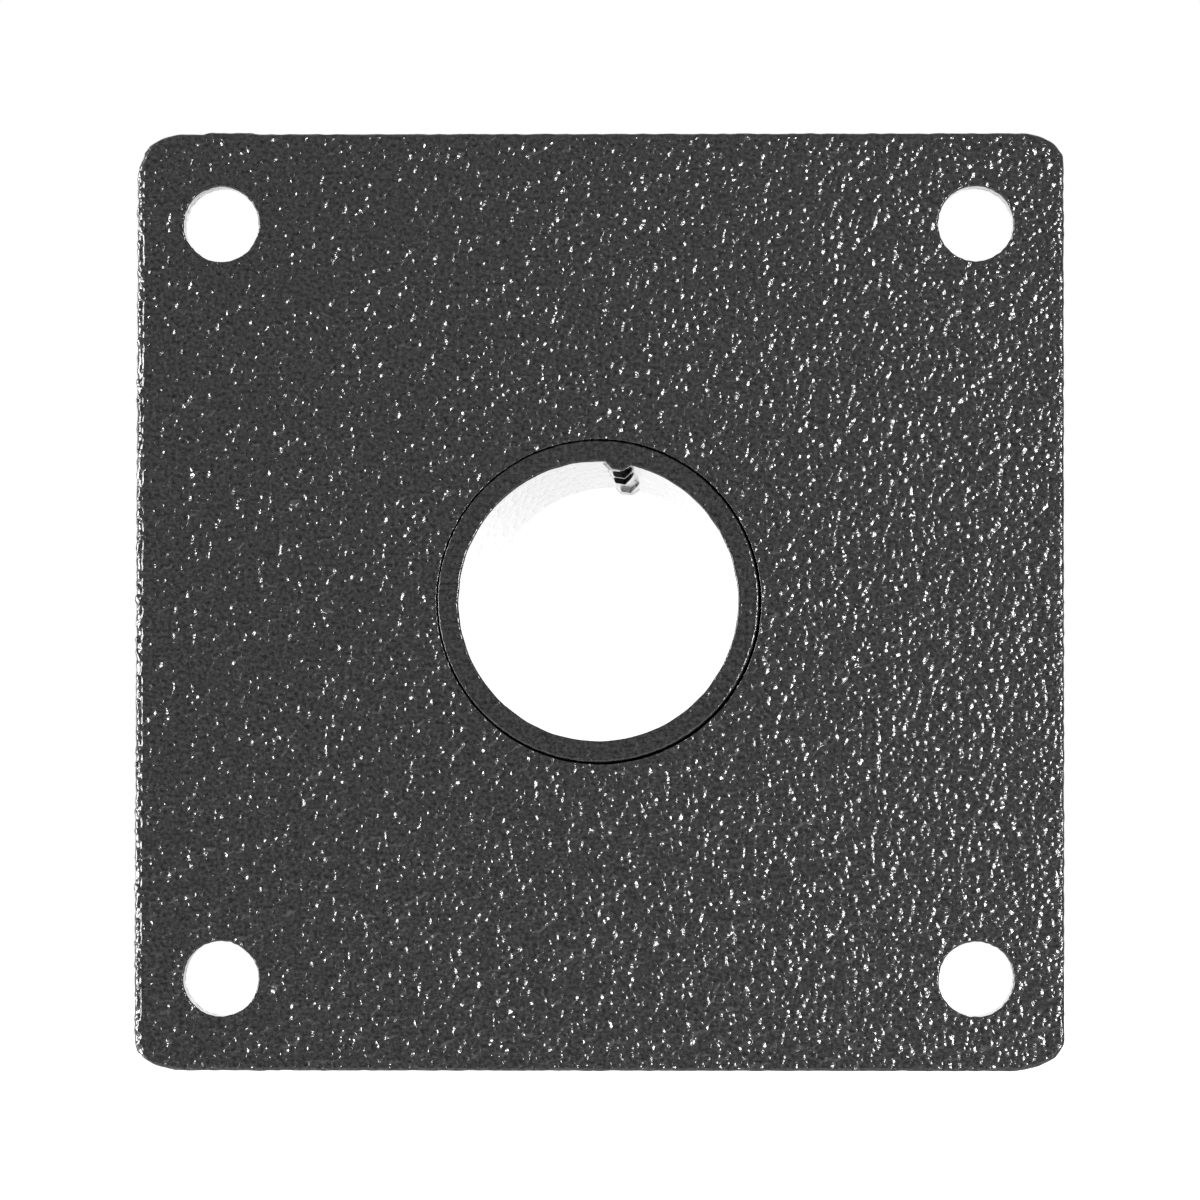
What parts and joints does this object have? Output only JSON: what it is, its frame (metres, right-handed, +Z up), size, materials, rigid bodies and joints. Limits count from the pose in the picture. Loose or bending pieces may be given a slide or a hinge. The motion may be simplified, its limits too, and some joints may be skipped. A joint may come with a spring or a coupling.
{
  "type": "motor mounting bracket",
  "caption": "Square steel mounting plate with corner bolt holes, welded round the end of a short tube that stands flush with its front face.",
  "frame": {"origin": "on the tube's axis, in the plane of the plate's front face", "axes": "+Y back along the tube, away from the front face; +X to the right seen from the front; +Z up"},
  "size_m": [0.1018, 0.1018, 0.1026],
  "materials": {
    "coated_plate": "textured semi-gloss charcoal powder coat",
    "coated_tube": "fine semi-gloss charcoal powder coat",
    "coated_weld": "semi-gloss charcoal powder coat over a rippled weld"
  },
  "bodies": {
    "root": {"plate": "coated_plate", "tube": "coated_tube", "weld": "coated_weld"}
  },
  "joints": []
}
